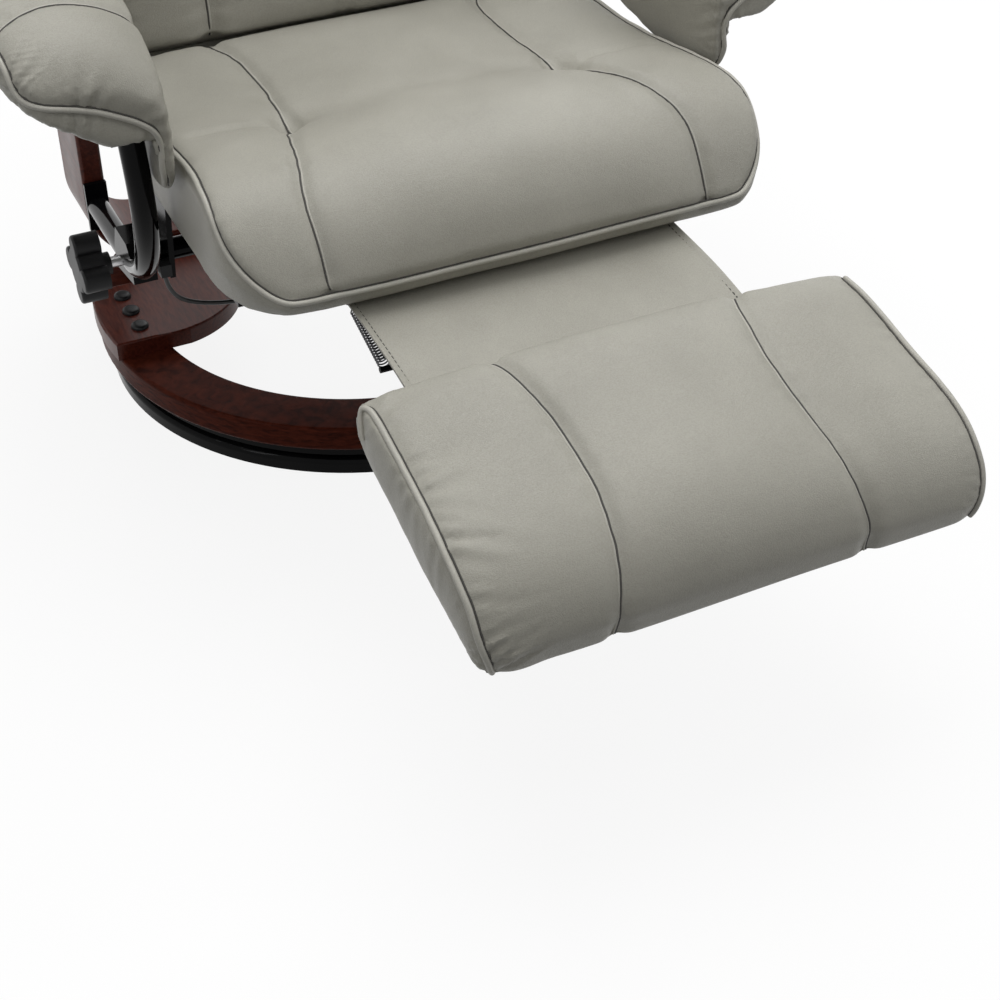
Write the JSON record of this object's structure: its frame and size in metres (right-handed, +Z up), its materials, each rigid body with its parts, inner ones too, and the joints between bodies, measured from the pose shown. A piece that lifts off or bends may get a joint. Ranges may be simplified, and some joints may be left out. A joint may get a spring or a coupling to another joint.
{
  "type": "swivel recliner",
  "caption": "Padded recliner on a turning wood ring base, with bent wood uprights, flared arms, tilting seat, reclining back and a swing-out footrest.",
  "frame": {"origin": "on the floor at the swivel axis, the centre of the floor ring's underside", "axes": "+Z up, the sitter faces -Y, +X to the sitter's left"},
  "size_m": [0.8486, 1.2537, 1.0035],
  "materials": {
    "black_steel": "gloss black paint",
    "black_plastic": "satin",
    "cherry_wood": "dark cherry lacquer",
    "plywood": "raw plywood",
    "grey_leather": "satin grained",
    "plain_steel": "zinc plated",
    "black_rubber": "matt"
  },
  "bodies": {
    "floor_base": {"floor_ring": "black_steel", "glide_blocks": "black_plastic"},
    "turntable": {"swivel_ring": "black_steel", "ring_screws": "plain_steel", "wood_ring": "cherry_wood", "foot_bolts": "plain_steel", "bolt_caps": "black_plastic", "limb_bolts": "plain_steel", "left_foot_plate": "cherry_wood", "right_foot_plate": "cherry_wood", "left_upright": "cherry_wood", "right_upright": "cherry_wood", "left_arm_tube": "black_steel", "right_arm_tube": "black_steel", "left_arm_bracket": "black_steel", "right_arm_bracket": "black_steel", "left_arm_board": "plywood", "right_arm_board": "plywood", "left_arm_pad": "grey_leather", "right_arm_pad": "grey_leather", "tilt_shaft": "black_steel"},
    "left_clamp": {"left_knob": "black_plastic", "left_knob_rod": "plain_steel"},
    "right_clamp": {"right_knob": "black_plastic", "right_knob_rod": "plain_steel"},
    "seat": {"left_seat_rail": "black_steel", "right_seat_rail": "black_steel", "front_cross_rail": "black_steel", "middle_cross_rail": "black_steel", "rear_cross_rail": "black_steel", "seat_deck": "plywood", "left_pivot_plate": "black_steel", "right_pivot_plate": "black_steel", "left_hinge_plate": "black_steel", "right_hinge_plate": "black_steel", "seat_cushion": "grey_leather", "left_link_plate": "black_steel", "right_link_plate": "black_steel", "flap": "grey_leather", "gap_strip": "grey_leather", "left_spring": "plain_steel", "right_spring": "plain_steel", "release_cable": "black_rubber", "cable_holders": "black_plastic"},
    "backrest": {"left_back_post": "black_steel", "right_back_post": "black_steel", "back_low_rail": "black_steel", "back_top_rail": "black_steel", "back_shell": "grey_leather", "back_cushion": "grey_leather", "head_pillow": "grey_leather"},
    "rear_links": {"left_rear_link": "black_steel", "right_rear_link": "black_steel", "link_tie": "black_steel"},
    "front_links": {"left_front_link": "black_steel", "right_front_link": "black_steel"},
    "footrest": {"left_footrest_bracket": "black_steel", "right_footrest_bracket": "black_steel", "footrest_board": "plywood", "footrest_pad": "grey_leather"}
  },
  "joints": [
    {"name": "base_swivel", "type": "hinge", "parent": "floor_base", "child": "turntable", "pos_m": [0, 0, 0.03], "axis": [0, 0, 1], "continuous": true},
    {"name": "seat_tilt", "type": "hinge", "parent": "turntable", "child": "seat", "pos_m": [0, -0.095, 0.221], "axis": [1, 0, 0], "range_deg": [-8, 2]},
    {"name": "back_recline", "type": "hinge", "parent": "seat", "child": "backrest", "pos_m": [0, 0.045, 0.375], "axis": [1, 0, 0], "range_deg": [-15, 12], "deforming": ["gap_strip"]},
    {"name": "footrest_fold", "type": "hinge", "parent": "seat", "child": "rear_links", "pos_m": [0, -0.36, 0.282], "axis": [1, 0, 0], "range_deg": [0, 70.4], "deforming": ["left_spring", "right_spring", "flap"]},
    {"name": "footrest_knee", "type": "hinge", "parent": "rear_links", "child": "front_links", "pos_m": [0, -0.52387, 0.25281], "axis": [1, 0, 0], "range_deg": [-145.7, 0.5]},
    {"name": "footrest_turn", "type": "hinge", "parent": "front_links", "child": "footrest", "pos_m": [0, -0.6593, 0.26708], "axis": [1, 0, 0], "range_deg": [-0.5, 151.3]},
    {"name": "left_knob_turn", "type": "hinge", "parent": "turntable", "child": "left_clamp", "pos_m": [0.335, -0.095, 0.221], "axis": [1, 0, 0], "range_deg": [-180, 180]},
    {"name": "right_knob_turn", "type": "hinge", "parent": "turntable", "child": "right_clamp", "pos_m": [-0.335, -0.095, 0.221], "axis": [1, 0, 0], "range_deg": [-180, 180]}
  ],
  "couplings": [
    {"joint": "footrest_knee", "follows": "footrest_fold", "ratio": -2.0625},
    {"joint": "footrest_turn", "follows": "footrest_fold", "ratio": 2.142}
  ]
}
